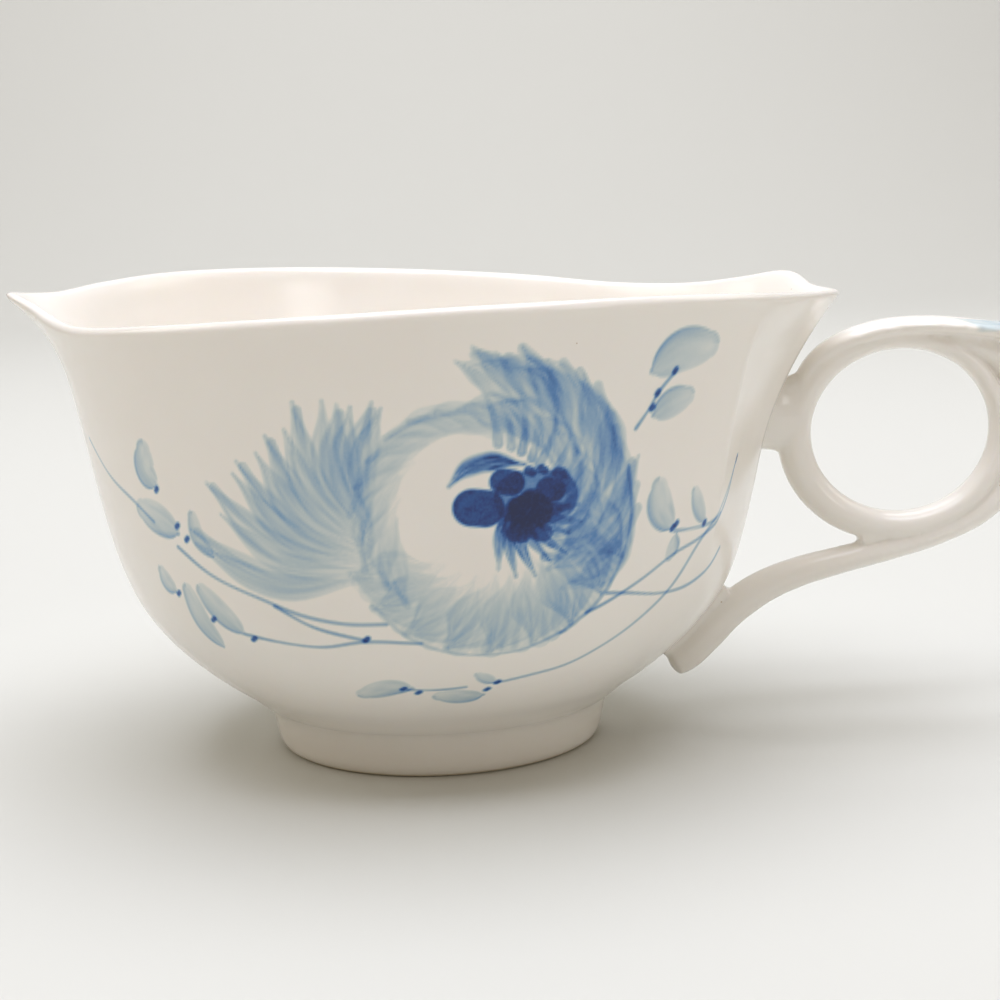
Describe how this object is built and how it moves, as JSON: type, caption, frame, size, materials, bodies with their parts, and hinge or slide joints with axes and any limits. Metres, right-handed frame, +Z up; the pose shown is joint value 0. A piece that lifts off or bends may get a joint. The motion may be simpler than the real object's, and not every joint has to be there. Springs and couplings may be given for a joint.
{
  "type": "teacup",
  "caption": "Glazed porcelain teacup with a wavy drawn-out rim, low foot ring and ring handle with thumb rest and tail, painted with a blue blossom.",
  "frame": {"origin": "centre of the cup's outline seen from above, on the plane it stands on; the bowl's own axis is 14.48 mm from it towards -X", "axes": "+Z up, +X towards the handle, -Y the side with the large blossom"},
  "size_m": [0.1306, 0.0926, 0.0595],
  "materials": {
    "bowl_glaze": "white porcelain under a clear gloss glaze, with cobalt blue painting under the glaze",
    "foot_glaze": "white porcelain under a clear gloss glaze, ground bare on the face that stands on the table",
    "handle_glaze": "white porcelain under a clear gloss glaze, with a touch of cobalt blue on the thumb rest"
  },
  "bodies": {
    "root": {"bowl": "bowl_glaze", "foot_ring": "foot_glaze", "handle_ring": "handle_glaze", "handle_tail": "handle_glaze", "thumb_rest": "handle_glaze", "handle_pad": "handle_glaze"}
  },
  "joints": []
}
